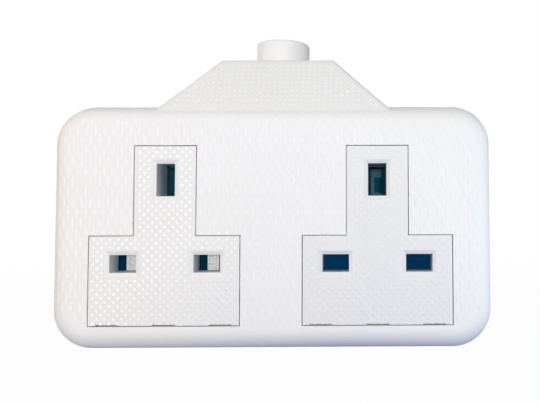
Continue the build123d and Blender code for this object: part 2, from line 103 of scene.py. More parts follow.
LAMPS = (
    ("key_lamp", "key", (0.03, -0.4, 0.06), 0.07),
    ("top_lamp", "top", (-0.03, -0.17, 0.25), 0.12),
    ("fill_lamp", "fill", (-0.12, -0.13, 0.02), 0.06),
    ("warm_lamp", "warm", (-0.5, -0.12, 0.06), 0.4),
    ("back_lamp_left", "back", (-0.35, 0.55, 0.25), 0.3),
    ("back_lamp_right", "back", (0.06, 0.55, 0.25), 0.3),
    ("cool_lamp", "cool", (0.125, -0.04, 0.025), 0.08),
)
LAMP_AIM = (0.0, 0.0, 0.04)
FLOOR_FRONT, FLOOR_BACK, FLOOR_HALF = -2.0, 0.9, 3.0
SWEEP_RADIUS, SWEEP_STEPS, BACKDROP_TOP = 0.5, 12, 2.5
FLOOR_TURN = (-40 * MM, 75 * MM)
FLOOR_STOPS = (0.0, 0.55, 1.0)
SHADOW_NEAR, SHADOW_FAR, SHADOW_WHITE = 0.1, 0.35, 0.98
SENSOR_WIDTH = 36.0
CLIP_NEAR, CLIP_FAR = 0.01, 20.0


# Sizes and colours that a user may change

def length_prop(name, description, millimetres):
    """Length property with its default in millimetres."""
    return FloatProperty(name=name, description=description, default=millimetres * MM, unit="LENGTH",
                         precision=5)


def angle_prop(name, description, degrees):
    """Angle property with its default in degrees."""
    return FloatProperty(name=name, description=description, default=math.radians(degrees), subtype="ANGLE")


def power_prop(name, description, watts):
    """Power of a lamp."""
    return FloatProperty(name=name, description=description, default=watts, unit="POWER")


def colour_prop(name, description, colour):
    """Colour property, linear."""
    return FloatVectorProperty(name=name, description=description, default=colour, size=3, subtype="COLOR",
                               min=0.0, max=1.0)


class FaceSizes(bpy.types.PropertyGroup):
    """Places of the T faces and of their slots, as in the solids."""
    offset: length_prop("Socket offset", "Distance of each socket from the middle of the case", 28.15)
    base_width: length_prop("Base width", "Width of the lower bar of the T", 40.1)
    stem_width: length_prop("Stem width", "Width of the upright of the T", 16.7)
    bottom: length_prop("Bottom", "Height of the lower edge of the T", 6.55)
    step: length_prop("Step", "Height of the step of the T", 30.5)
    top: length_prop("Top", "Height of the upper edge of the T", 54.35)
    pin_row: length_prop("Pin row", "Height of the live and neutral slots", 22.95)
    pin_spacing: length_prop("Pin spacing", "Distance between the live and neutral slots", 22.2)
    side_slot_width: length_prop("Side slot width", "Width of the live and neutral slots", 7.05)
    side_slot_height: length_prop("Side slot height", "Height of the live and neutral slots", 4.7)
    earth_slot_width: length_prop("Earth slot width", "Width of the earth slot", 4.9)
    earth_slot_height: length_prop("Earth slot height", "Height of the earth slot", 8.7)


class GripSizes(bpy.types.PropertyGroup):
    """Moulded lozenges of the cover and pips of the faces and of the cord entry."""
    lozenge_pitch: length_prop("Lozenge pitch", "Distance between lozenges in a row", 2.34)
    lozenge_rows: length_prop("Lozenge rows", "Distance between rows that line up", 5.5)
    lozenge_width: length_prop("Lozenge width", "Width of a lozenge at its foot", 1.4)
    lozenge_length: length_prop("Lozenge length", "Height of a lozenge at its foot", 4.0)
    lozenge_relief: length_prop("Lozenge relief", "How far a lozenge stands out", 0.1)
    first_row: length_prop("First whole row", "Distance of the first whole row from the cover's top", 7.0)
    field_side: length_prop("Field side margin", "Plain border at the sides of the cover", 2.4)
    field_top: length_prop("Field top margin", "Plain border at the top of the cover", 3.9)
    field_bottom: length_prop("Field bottom margin", "Plain border at the bottom of the cover", 7.25)
    field_corner: length_prop("Field corner radius", "Corner radius of the grip field", 8.0)
    pip_pitch: length_prop("Pip pitch", "Distance between pips in a row", 2.2)
    pip_diameter: length_prop("Pip diameter", "Width of one pip", 0.9)
    pip_relief: length_prop("Pip relief", "How far a pip stands out", 0.055)
    soft_pip_relief: length_prop("Soft pip relief", "How far a pip of the right face stands out", 0.018)
    pip_border: length_prop("Pip border", "Plain border inside the edge of a face", 0.75)
    slot_border: length_prop("Slot border", "Plain border round a slot", 1.55)
    pip_segments: IntProperty(name="Pip segments", description="Sides of one pip", default=8, min=6, max=16)


class FinishColours(bpy.types.PropertyGroup):
    """Colours of the finishes; some of them paint light or shade on the part."""
    case: colour_prop("Case white", "Moulded case", (0.835, 0.835, 0.835))
    # Whiter than the case: a painted highlight on the lozenge tops
    grip: colour_prop("Grip white", "Lozenges of the cover", (0.868, 0.868, 0.868))
    # Whiter than the face: a painted highlight on the left face's pips
    pip: colour_prop("Pip white", "Pips of the left face, painted whiter as a highlight", (0.97, 0.97, 0.97))
    # A little whiter than the right face: a painted highlight on its pips
    soft_pip: colour_prop("Soft pip white", "Pips of the right face", (0.81, 0.813, 0.818))
    face: colour_prop("Face white", "Left socket face", (0.81, 0.81, 0.808))
    # The right face is the same plastic as the left, painted darker and cooler as shade
    painted_shade_face: colour_prop("Second face white", "Right socket face", (0.772, 0.775, 0.782))
    # Blue grey that the slot walls darken to with depth: painted shade, not the plastic's colour
    slot_painted_shade: colour_prop("Painted shade grey in the slots", "Depth of the slots in both faces", (0.37, 0.49, 0.58))
    # A little darker and cooler than the case white: painted shade on the sloping entry
    entry: colour_prop("Entry white", "Tapered cord entry", (0.81, 0.82, 0.822))
    # Whiter than the entry: a painted highlight on its pips
    entry_pip: colour_prop("Entry pip white", "Pips of the cord entry", (0.87, 0.88, 0.882))
    gland: colour_prop("Gland white", "Soft bush of the cord", (0.875, 0.88, 0.885))
    petrol: colour_prop("Petrol blue", "Right shutter blades", (0.0008, 0.042, 0.12))
    # The petrol blue of the left blades, darker as painted shade deeper in the slots
    painted_shade_petrol: colour_prop("Petrol blue with painted shade", "Left shutter blades", (0.0006, 0.03, 0.06))
    carrier: colour_prop("Deep petrol blue", "Contact carrier", (0.001, 0.068, 0.125))
    # Paler petrol on the carrier's front, before its darker pocket: painted light
    painted_light_front: colour_prop("Pale petrol blue", "Painted light on the carrier's front", (0.072, 0.175, 0.235))
    grey: colour_prop("Light grey", "Shutter slides and cord clamp", (0.7, 0.69, 0.68))
    brass: colour_prop("Brass", "Strips, terminals and rivets", (0.72, 0.52, 0.23))
    # Dark petrol on the contact clips in place of brass: painted shade with a painted reflection of the
    # petrol carrier
    clip: colour_prop("Spring brass with painted shade", "Contact clips", (0.01, 0.13, 0.2))
    steel: colour_prop("Plated steel", "Screws", (0.62, 0.62, 0.64))


class StudioSettings(bpy.types.PropertyGroup):
    """Camera, lamps and floor."""
    camera_place: FloatVectorProperty(name="Camera place", description="Where the camera stands", size=3,
                                      default=(0.0253, -0.1833, 0.03895), subtype="TRANSLATION",
                                      unit="LENGTH")
    pitch: angle_prop("Pitch", "Upward tilt of the camera", 2.56)
    yaw: angle_prop("Yaw", "Turn of the camera to the right", 0.57)
    roll: angle_prop("Roll", "Roll of the camera", -0.18)
    lens: FloatProperty(name="Lens", description="Focal length on a 36 mm sensor", default=40.42)
    shift: FloatVectorProperty(name="Lens shift", description="Sideways and upward shift", size=2,
                               default=(-0.19, -0.05))
    key_power: power_prop("Key power", "Front lamp near the camera", 0.9)
    key_colour: colour_prop("Key colour", "Front lamp near the camera", (1.0, 0.997, 0.962))
    fill_power: power_prop("Fill power", "Low lamp at the left", 0.027)
    fill_colour: colour_prop("Fill colour", "Low lamp at the left", (1.0, 0.87, 0.72))
    warm_power: power_prop("Warm power", "Left lamp", 0.58)
    warm_colour: colour_prop("Warm colour", "Left lamp", (1.0, 0.58, 0.26))
    cool_power: power_prop("Cool power", "Right lamp", 0.04)
    cool_colour: colour_prop("Cool colour", "Right lamp", (0.86, 0.94, 1.0))
    top_power: power_prop("Top power", "Lamp above the front", 0.14)
    top_colour: colour_prop("Top colour", "Lamp above the front", (1.0, 0.97, 0.93))
    back_power: power_prop("Back power", "Each of the two lamps behind", 1.75)
    back_colour: colour_prop("Back colour", "Both lamps behind", (1.0, 0.985, 0.95))
    ambient: FloatProperty(name="Ambient", description="Even light from all round", default=0.165)
    floor_left: colour_prop("Floor colour at the left", "Light from the floor", (0.26, 0.28, 0.43))
    floor_middle: colour_prop("Floor colour in the middle", "Light from the floor", (0.002, 0.05, 0.32))
    floor_right: colour_prop("Floor colour at the right", "Light from the floor", (0.13, 0.24, 0.46))


# Node helpers

def add_node(tree, kind, inputs=None, **options):
    """Adds a node, sets its options and fills its sockets with values or links."""
    made = tree.nodes.new(kind)
    for key, value in options.items():
        setattr(made, key, value)
    for key, value in (inputs or {}).items():
        if isinstance(value, bpy.types.NodeSocket):
            tree.links.new(value, made.inputs[key])
        else:
            made.inputs[key].default_value = value
    return made


def math_node(tree, operation, a, b=0.0):
    """One math node on two values."""
    return add_node(tree, "ShaderNodeMath", {0: a, 1: b}, operation=operation).outputs[0]


def vector_node(tree, operation, a, b=(0.0, 0.0, 0.0)):
    """One vector math node on two vectors."""
    made = add_node(tree, "ShaderNodeVectorMath", {0: a, 1: b}, operation=operation)
    return made.outputs["Value" if operation in {"LENGTH", "DOT_PRODUCT"} else "Vector"]


def combined(tree, x=0.0, y=0.0, z=0.0):
    """Vector from three values."""
    return add_node(tree, "ShaderNodeCombineXYZ", {"X": x, "Y": y, "Z": z}).outputs[0]


def map_range(tree, value, start, end, low=0.0, high=1.0):
    """Leads from one value to another between a start and an end."""
    return add_node(tree, "ShaderNodeMapRange", {
        "Value": value, "From Min": start, "From Max": end, "To Min": low, "To Max": high,
    }).outputs["Result"]


def spread(tree, value, low, high):
    """Spreads noise over a range."""
    return map_range(tree, value, NOISE_LOW, NOISE_HIGH, low, high)


def ramp(tree, factor, stops):
    """Colour ramp with linear stops given as position and colour."""
    made = add_node(tree, "ShaderNodeValToRGB", {"Fac": factor})
    elements = made.color_ramp.elements
    while len(elements) < len(stops):
        elements.new(0.5)
    for element, (place, colour) in zip(elements, stops):
        element.position = place
        element.color = (*colour, 1.0)
    return made.outputs["Color"]


def mixed(tree, share, first, second):
    """Mix of two colours."""
    inputs = {"Factor": share, 6: first, 7: second}
    return add_node(tree, "ShaderNodeMix", inputs, data_type="RGBA").outputs[2]


def noise(tree, vector, scale, detail=2.0, rough=0.5):
    """Noise on object coordinates, in cycles per metre."""
    return add_node(tree, "ShaderNodeTexNoise", {
        "Vector": vector, "Scale": scale, "Detail": detail, "Roughness": rough,
    }).outputs["Fac"]


def streaked(tree, place, stretch):
    """Noise drawn out by its own number of cycles along each axis."""
    drawn = add_node(tree, "ShaderNodeMapping", {"Vector": place, "Scale": stretch}).outputs[0]
    return noise(tree, drawn, scale=1.0, detail=3.0)


def bump(tree, height, strength, distance):
    """Small relief from a height value."""
    inputs = {"Height": height, "Strength": strength, "Distance": distance}
    return add_node(tree, "ShaderNodeBump", inputs).outputs["Normal"]


def principled(tree, base, gloss, relief, extra):
    """Surface shader from a colour, a roughness, a relief and a few more values."""
    inputs = {"Base Color": base, "Roughness": gloss, "Normal": relief, **extra}
    return add_node(tree, "ShaderNodeBsdfPrincipled", inputs).outputs["BSDF"]


def seen_share(tree):
    """One for what the camera sees, also in gloss and glass, and zero for light that falls on the part."""
    path = add_node(tree, "ShaderNodeLightPath").outputs
    mirrored = math_node(tree, "MAXIMUM", path["Is Glossy Ray"], path["Is Transmission Ray"])
    return math_node(tree, "MAXIMUM", path["Is Camera Ray"], mirrored)


# Finishes, some of which paint light or shade

def shader(name, build):
    """New material whose surface is one shader made by a builder."""
    made = bpy.data.materials.new(name)
    made.use_nodes = True
    tree = made.node_tree
    tree.nodes.clear()
    place = add_node(tree, "ShaderNodeTexCoord").outputs["Object"]
    surface = build(tree, place)
    add_node(tree, "ShaderNodeOutputMaterial", {"Surface": surface})
    return made


def tint(colour, share, warm=0.0):
    """Colour scaled by a share, with a little more or less warmth."""
    r, g, b = colour
    return (min(1.0, r * share * (1 + warm)), min(1.0, g * share), min(1.0, b * share * (1 - warm)))


def clouded(tree, cloud, colour):
    """Colour with faint flow clouds."""
    dull, clear = tint(colour, 0.985, warm=0.004), tint(colour, 1.012)
    return ramp(tree, cloud, [(0.32, dull), (0.5, colour), (0.7, clear)])


def moulded_plastic(name, colour, rough=(0.52, 0.6), grain=0.12, fade=None):
    """White moulded plastic with a fine spark-eroded grain; a fade leads on to a second colour, which paints
    light or shade.
    """
    def build(tree, place):
        cloud = noise(tree, place, scale=38.0, detail=3.0)
        base = clouded(tree, cloud, colour)
        if fade is not None:
            far, direction, start, end = fade
            along = vector_node(tree, "DOT_PRODUCT", place, direction)
            base = mixed(tree, map_range(tree, along, start, end), base, clouded(tree, cloud, far))
        relief = bump(tree, noise(tree, place, scale=5200.0), strength=grain, distance=0.04 * MM)
        gloss = spread(tree, noise(tree, place, scale=1400.0), *rough)
        return principled(tree, base, gloss, relief, {"IOR": PLASTIC_IOR})
    return shader(name, build)


def soft_bush(name, colour):
    """Smooth soft plastic of the cord bush, with faint rings from its mould."""
    def build(tree, place):
        cloud = noise(tree, place, scale=120.0, detail=3.0)
        base = ramp(tree, cloud, [(0.3, tint(colour, 0.97, warm=0.006)), (0.7, colour)])
        rings = add_node(tree, "ShaderNodeTexWave", {"Vector": place, "Scale": 420.0, "Distortion": 0.6},
                         wave_type="BANDS", bands_direction="Z").outputs["Fac"]
        relief = bump(tree, rings, strength=0.08, distance=0.04 * MM)
        gloss = spread(tree, noise(tree, place, scale=900.0), low=0.42, high=0.55)
        return principled(tree, base, gloss, relief, {"Specular IOR Level": 0.2})
    return shader(name, build)


def dark_plastic(name, colour, painted_light_front=None):
    """Dark blue plastic with a fine grain and streaks from sliding; a paler colour in front of a given depth
    paints light on the carrier's front.
    """
    def build(tree, place):
        cloud = streaked(tree, place, SLIDE_STREAKS)
        base = ramp(tree, cloud, [(0.3, tint(colour, 0.8)), (0.55, colour), (0.8, tint(colour, 1.2))])
        # Paler colour on the carrier's front, before its darker pocket: painted light
        if painted_light_front is not None:
            depth = add_node(tree, "ShaderNodeSeparateXYZ", {"Vector": place}).outputs["Y"]
            pale = ramp(tree, cloud, [(0.3, tint(painted_light_front, 0.85)), (0.7, tint(painted_light_front, 1.15))])
            base = mixed(tree, math_node(tree, "LESS_THAN", depth, PAINTED_LIGHT_EDGE), base, pale)
        relief = bump(tree, noise(tree, place, scale=4200.0), strength=0.15, distance=0.05 * MM)
        gloss = spread(tree, cloud, low=0.5, high=0.62)
        return principled(tree, base, gloss, relief, {"Specular IOR Level": 0.01})
    return shader(name, build)


def speckled_plastic(name, colour):
    """Light grey filled plastic with a dark and a pale speckle."""
    def build(tree, place):
        speck = noise(tree, place, scale=2600.0, detail=4.0, rough=0.7)
        base = ramp(tree, speck, [(0.3, tint(colour, 0.62)), (0.5, colour), (0.72, tint(colour, 1.25))])
        relief = bump(tree, speck, strength=0.25, distance=0.08 * MM)
        gloss = spread(tree, speck, low=0.5, high=0.66)
        return principled(tree, base, gloss, relief, {"IOR": PLASTIC_IOR})
    return shader(name, build)


def worked_metal(name, colour, rough, stretch, metallic=1.0):
    """Drawn or turned metal with streaks and a slight tarnish; with a low metallic value it is barely
    metallic, as on the clips, whose dark petrol colour is painted shade and a painted petrol reflection.
    """
    def build(tree, place):
        streak = streaked(tree, place, stretch)
        tarnish = noise(tree, place, scale=260.0, detail=3.0)
        base = ramp(tree, tarnish, [(0.3, tint(colour, 0.82, warm=0.03)), (0.65, colour)])
        relief = bump(tree, streak, strength=0.12, distance=0.03 * MM)
        return principled(tree, base, spread(tree, streak, *rough), relief, {"Metallic": metallic})
    return shader(name, build)


def dress(material, *names):
    """Gives CAD nodes a finish through their material slots."""
    for name in names:
        node = NODES[name]
        if not node.material_slots:
            node.data.materials.append(material)
        for slot in node.material_slots:
            slot.material = material


# Repeated relief

def relief_tree(name, sockets):
    """Empty geometry tree with its named inputs."""
    tree = bpy.data.node_groups.new(name, "GeometryNodeTree")
    tree.interface.new_socket("Geometry", in_out="INPUT", socket_type="NodeSocketGeometry")
    for label, kind in sockets.items():
        tree.interface.new_socket(label, in_out="INPUT", socket_type=f"NodeSocket{kind}")
    tree.interface.new_socket("Geometry", in_out="OUTPUT", socket_type="NodeSocketGeometry")
    return tree, add_node(tree, "NodeGroupInput").outputs


def lattice(tree, given, centre, shares):
    """Grids of points in the front plane about a centre, each moved on by a share of the pitch."""
    columns, rows, pitch, row_pitch = (given[key] for key in ("Columns", "Rows", "Pitch", "Row Pitch"))
    joined = add_node(tree, "GeometryNodeJoinGeometry")
    for share in shares:
        grid = add_node(tree, "GeometryNodeMeshGrid", {
            "Size X": math_node(tree, "MULTIPLY", columns, pitch),
            "Size Y": math_node(tree, "MULTIPLY", rows, row_pitch),
            "Vertices X": math_node(tree, "ADD", columns, 1.0),
            "Vertices Y": math_node(tree, "ADD", rows, 1.0),
        }).outputs["Mesh"]
        offset = combined(tree, x=math_node(tree, "MULTIPLY", pitch, share),
                          z=math_node(tree, "MULTIPLY", row_pitch, share))
        stood = add_node(tree, "GeometryNodeTransform", {
            "Geometry": grid, "Rotation": STOOD_UP, "Translation": vector_node(tree, "ADD", offset, centre),
        }).outputs["Geometry"]
        tree.links.new(stood, joined.inputs[0])
    return joined.outputs[0]


def cast_back(tree, carrier):
    """Ray from each point along +Y onto a carrier surface."""
    return add_node(tree, "GeometryNodeRaycast", {
        "Target Geometry": carrier, "Ray Direction": INWARDS, "Ray Length": RAY_LENGTH,
    }).outputs


def upright_on(tree, normal):
    """Rotation that lays a shape on a surface with its length upright."""
    inputs = {"Primary Axis": normal, "Secondary Axis": UP}
    return add_node(tree, "FunctionNodeAxesToRotation", inputs, primary_axis="Z",
                    secondary_axis="Y").outputs["Rotation"]


def realized(tree, geometry):
    """Instances turned into plain geometry."""
    return add_node(tree, "GeometryNodeRealizeInstances", {"Geometry": geometry}).outputs["Geometry"]


def close_tree(tree, geometry, material):
    """Ends a tree in plain geometry with its material."""
    inputs = {"Geometry": realized(tree, geometry), "Material": material}
    painted = add_node(tree, "GeometryNodeSetMaterial", inputs).outputs["Geometry"]
    add_node(tree, "NodeGroupOutput", {"Geometry": painted})


def grow(name, tree, seed_mesh, values):
    """Runs a tree on a seed mesh and keeps the result as a plain mesh object."""
    piece = bpy.data.objects.new(name, seed_mesh)
    bpy.context.scene.collection.objects.link(piece)
    modifier = piece.modifiers.new("Relief", "NODES")
    modifier.node_group = tree
    for item in tree.interface.items_tree:
        if item.in_out == "INPUT" and item.name in values:
            modifier[item.identifier] = values[item.name]
    view = bpy.context.evaluated_depsgraph_get()
    result = bpy.data.meshes.new_from_object(piece.evaluated_get(view))
    piece.modifiers.clear()
    piece.data = result
    work = bmesh.new()
    work.from_mesh(result)
    bmesh.ops.remove_doubles(work, verts=work.verts, dist=MERGE_DISTANCE)
    bmesh.ops.recalc_face_normals(work, faces=work.faces)
    work.to_mesh(result)
    work.free()
    if not result.polygons:
        raise RuntimeError(f"{name} came out empty")
    return piece


def rectangles_mesh(name, kept, cut, y):
    """Flat mesh in the front plane that covers the kept rectangles less the cut ones."""
    xs = sorted({v for r in kept + cut for v in r[:2]})
    zs = sorted({v for r in kept + cut for v in r[2:]})

    def inside(rects, x, z):
        return any(r[0] < x < r[1] and r[2] < z < r[3] for r in rects)

    points, faces = [], []
    for x0, x1 in zip(xs, xs[1:]):
        for z0, z1 in zip(zs, zs[1:]):
            x, z = (x0 + x1) / 2, (z0 + z1) / 2
            if inside(kept, x, z) and not inside(cut, x, z):
                first = len(points)
                points += [(x0, y, z0), (x1, y, z0), (x1, y, z1), (x0, y, z1)]
                faces.append((first, first + 1, first + 2, first + 3))
    mesh = bpy.data.meshes.new(name)
    mesh.from_pydata(points, [], faces)
    return mesh


def tee_rectangles(sizes, centre, inset):
    """The two rectangles of a T face, moved in by an inset."""
    base, stem = sizes.base_width / 2 - inset, sizes.stem_width / 2 - inset
    return [(centre - base, centre + base, sizes.bottom + inset, sizes.step - inset),
            (centre - stem, centre + stem, sizes.bottom + inset, sizes.top - inset)]


def slot_rectangles(sizes, centre, border):
    """The three slots of a face, grown by a border."""
    side = (sizes.pin_row, sizes.side_slot_width, sizes.side_slot_height)
    earth = (sizes.pin_row + sizes.pin_spacing, sizes.earth_slot_width, sizes.earth_slot_height)
    aside = sizes.pin_spacing / 2
    found = []
    for offset, (z, width, height) in ((-aside, side), (aside, side), (0.0, earth)):
        x, reach, rise = centre + offset, width / 2 + border, height / 2 + border
        found.append((x - reach, x + reach, z - rise, z + rise))
    return found


def window_prisms(sizes, high):
    """Closed prisms in the two T windows and above the grip field, to trim the lozenges at their edges."""
    base, stem = sizes.base_width / 2, sizes.stem_width / 2
    outline = [(-base, sizes.bottom), (base, sizes.bottom), (base, sizes.step), (stem, sizes.step),
               (stem, sizes.top), (-stem, sizes.top), (-stem, sizes.step), (-base, sizes.step)]
    border = [(-CASE_HALF, high), (CASE_HALF, high), (CASE_HALF, CASE_TOP), (-CASE_HALF, CASE_TOP)]
    work = bmesh.new()
    for centre, shape in ((-sizes.offset, outline), (sizes.offset, outline), (0.0, border)):
        face = work.faces.new([work.verts.new((centre + x, FRONT - PRISM_LEAD, z)) for x, z in shape])
        made = bmesh.ops.extrude_face_region(work, geom=[face])["geom"]
        moved = [v for v in made if isinstance(v, bmesh.types.BMVert)]
        bmesh.ops.translate(work, vec=(0.0, PRISM_DEPTH, 0.0), verts=moved)
    bmesh.ops.recalc_face_normals(work, faces=work.faces)
    mesh = bpy.data.meshes.new("window_prisms")
    work.to_mesh(mesh)
    work.free()
    return mesh


def fall_to(tree, cover, lattice_place):
    """Way back along +Y from the lattice plane to the cover, or to its front plane where a window is open."""
    surface = add_node(tree, "GeometryNodeObjectInfo", {"Object": cover}).outputs["Geometry"]
    hit = cast_back(tree, surface)["Hit Position"]
    depth = vector_node(tree, "MULTIPLY", vector_node(tree, "SUBTRACT", hit, lattice_place), INWARDS)
    near = {"A": vector_node(tree, "LENGTH", depth), "B": STAND_OFF + ROUND_DEPTH}
    on_front = add_node(tree, "FunctionNodeCompare", near, operation="LESS_THAN").outputs[0]
    choice = {"Switch": on_front, "False": (0.0, STAND_OFF, 0.0), "True": depth}
    return add_node(tree, "GeometryNodeSwitch", choice, input_type="VECTOR").outputs[0]


def lozenge_tree(material):
    """Tree of the cover's grip: lozenges on a lattice, bent onto the cover and trimmed at the windows."""
    tree, given = relief_tree("Cover lozenges", {
        "Cover": "Object", "Columns": "Int", "Rows": "Int", "Pitch": "Float", "Row Pitch": "Float",
        "Width": "Float", "Length": "Float", "Relief": "Float", "Lattice": "Vector", "Centre": "Vector",
        "Half Field": "Vector", "Corner": "Float",
    })
    points = lattice(tree, given, given["Lattice"], STAGGERED)
    place = add_node(tree, "GeometryNodeInputPosition").outputs[0]
    away = vector_node(tree, "ABSOLUTE", vector_node(tree, "SUBTRACT", place, given["Centre"]))
    corner = combined(tree, x=given["Corner"], z=given["Corner"])
    over = vector_node(tree, "SUBTRACT", away, vector_node(tree, "SUBTRACT", given["Half Field"], corner))
    reach = {"A": vector_node(tree, "LENGTH", vector_node(tree, "MAXIMUM", over)), "B": given["Corner"]}
    outside = add_node(tree, "FunctionNodeCompare", reach, operation="GREATER_THAN").outputs[0]
    field = add_node(tree, "GeometryNodeDeleteGeometry", {
        "Geometry": points, "Selection": outside}).outputs[0]
    cone = add_node(tree, "GeometryNodeMeshCone", {
        "Vertices": LOZENGE_CORNERS, "Radius Top": LOZENGE_TOP_SHARE, "Radius Bottom": 1.0,
        "Depth": math_node(tree, "ADD", given["Relief"], LOZENGE_FOOT)}, fill_type="NGON").outputs["Mesh"]
    half = combined(tree, x=math_node(tree, "MULTIPLY", given["Width"], 0.5),
                    y=math_node(tree, "MULTIPLY", given["Length"], 0.5), z=1.0)
    lozenge = add_node(tree, "GeometryNodeTransform", {
        "Geometry": cone, "Translation": (0.0, 0.0, -LOZENGE_FOOT), "Scale": half}).outputs[0]
    fine = add_node(tree, "GeometryNodeSubdivideMesh", {"Mesh": lozenge, "Level": 1}).outputs[0]
    grown = add_node(tree, "GeometryNodeInstanceOnPoints", {
        "Points": field, "Instance": fine, "Rotation": STOOD_UP}).outputs[0]
    bent = add_node(tree, "GeometryNodeSetPosition", {
        "Geometry": realized(tree, grown), "Offset": fall_to(tree, given["Cover"], given["Lattice"]),
    }).outputs[0]
    trimmed = add_node(tree, "GeometryNodeMeshBoolean", {"Mesh 1": bent, "Mesh 2": given["Geometry"]},
                       operation="DIFFERENCE", solver="EXACT").outputs["Mesh"]
    close_tree(tree, trimmed, material)
    return tree


def pip_tree(material, shares):
    """Tree of the pips: small domes on a lattice, laid wherever the seed surface lies behind them."""
    tree, given = relief_tree("Raised pips", {
        "Columns": "Int", "Rows": "Int", "Pitch": "Float", "Row Pitch": "Float", "Diameter": "Float",
        "Relief": "Float", "Segments": "Int", "Centre": "Vector",
    })
    points = lattice(tree, given, given["Centre"], shares)
    hit = cast_back(tree, given["Geometry"])
    facing = add_node(tree, "GeometryNodeStoreNamedAttribute", {
        "Geometry": points, "Name": "facing", "Value": hit["Hit Normal"]}, data_type="FLOAT_VECTOR",
        domain="POINT").outputs[0]
    missed = math_node(tree, "SUBTRACT", 1.0, hit["Is Hit"])
    kept = add_node(tree, "GeometryNodeDeleteGeometry", {"Geometry": facing, "Selection": missed}).outputs[0]
    laid = add_node(tree, "GeometryNodeSetPosition", {
        "Geometry": kept, "Position": hit["Hit Position"]}).outputs[0]
    ball = add_node(tree, "GeometryNodeMeshUVSphere", {
        "Segments": given["Segments"], "Rings": PIP_RINGS, "Radius": 1.0}).outputs["Mesh"]
    wide = math_node(tree, "MULTIPLY", given["Diameter"], 0.5)
    pip = add_node(tree, "GeometryNodeTransform", {
        "Geometry": ball, "Scale": combined(tree, wide, wide, given["Relief"])}).outputs[0]
    normal = add_node(tree, "GeometryNodeInputNamedAttribute", {"Name": "facing"}, data_type="FLOAT_VECTOR")
    grown = add_node(tree, "GeometryNodeInstanceOnPoints", {
        "Points": laid, "Instance": pip, "Rotation": upright_on(tree, normal.outputs[0])}).outputs[0]
    smooth = add_node(tree, "GeometryNodeSetShadeSmooth", {"Geometry": realized(tree, grown)}).outputs[0]
    close_tree(tree, smooth, material)
    return tree


# Operators

class SOCKET_OT_case(bpy.types.Operator):
    """Finish of the cover, the base and the tapered cord entry"""
    bl_idname = "trailing_socket.case"
    bl_label = "Case"

    def execute(self, context):
        colours = context.scene.socket_colours
        dress(moulded_plastic("case_white_plastic", colours.case), "front_cover", "rear_base")
        # The entry is painted a little darker than the case as shade
        dress(moulded_plastic("entry_white_plastic", colours.entry), "cord_entry_cover")
        return {"FINISHED"}


class SOCKET_OT_faces(bpy.types.Operator):
    """Finish of the two socket faces, with painted shade on the right face and in the slots"""
    bl_idname = "trailing_socket.faces"
    bl_label = "Socket Faces"

    def execute(self, context):
        colours = context.scene.socket_colours
        # The walls of the slots in both faces darken inwards to a blue grey as painted shade
        fade = (colours.slot_painted_shade, *WALL_FADE)
        # The right face is painted darker and cooler than the left: painted shade
        for side, name, colour in (("left", "face_white_plastic", colours.face),
                                   ("right", "second_face_white_plastic", colours.painted_shade_face)):
            dress(moulded_plastic(name, colour, rough=(0.5, 0.58), fade=fade), f"socket_face_{side}")
        return {"FINISHED"}


class SOCKET_OT_gland(bpy.types.Operator):
    """Finish of the cord gland"""
    bl_idname = "trailing_socket.gland"
    bl_label = "Cord Gland"

    def execute(self, context):
        dress(soft_bush("gland_white_bush", context.scene.socket_colours.gland), "cable_gland")
        return {"FINISHED"}


class SOCKET_OT_shutters(bpy.types.Operator):
    """Finish of the shutters, the contact carrier and the cord clamp, with painted shade on the left blades
    and painted light on the carrier's front
    """
    bl_idname = "trailing_socket.shutters"
    bl_label = "Shutters and Carrier"

    def execute(self, context):
        colours = context.scene.socket_colours
        dress(dark_plastic("petrol_blue_plastic", colours.petrol), "shutter_blades_right")
        # The left blades are painted a darker petrol than the right ones as shade
        dress(dark_plastic("shaded_petrol_plastic", colours.painted_shade_petrol), "shutter_blades_left")
        # The carrier's front is painted paler than its pocket as painted light
        dress(dark_plastic("deep_petrol_plastic", colours.carrier, colours.painted_light_front), "contact_carrier")
        dress(speckled_plastic("light_grey_plastic", colours.grey),
              "shutter_slide_left", "shutter_slide_right", "cord_clamp")
        return {"FINISHED"}


class SOCKET_OT_metalwork(bpy.types.Operator):
    """Finish of the contacts, terminals and screws; the clips carry painted shade and a painted petrol
    reflection
    """
    bl_idname = "trailing_socket.metalwork"
    bl_label = "Contacts and Screws"

    def execute(self, context):
        colours = context.scene.socket_colours
        lines = ("live", "neutral", "earth")
        dress(worked_metal("strip_brass", colours.brass, (0.26, 0.4), DRAWN_STREAKS), "contact_rivets",
              *[f"{line}_{kind}" for line in lines for kind in ("strip", "terminal")])
        # The clips are painted dark petrol as shade and as a reflection of the carrier, and are barely
        # metallic
        dress(worked_metal("clip_dark_brass", colours.clip, (0.5, 0.62), DRAWN_STREAKS, metallic=0.1),
              *[f"{line}_clip_{side}" for line in lines for side in ("left", "right")])
        dress(worked_metal("screw_plated_steel", colours.steel, (0.28, 0.42), TURNED_STREAKS),
              "terminal_screws", "cord_clamp_screws", "carrier_screws", "case_screws")
        return {"FINISHED"}


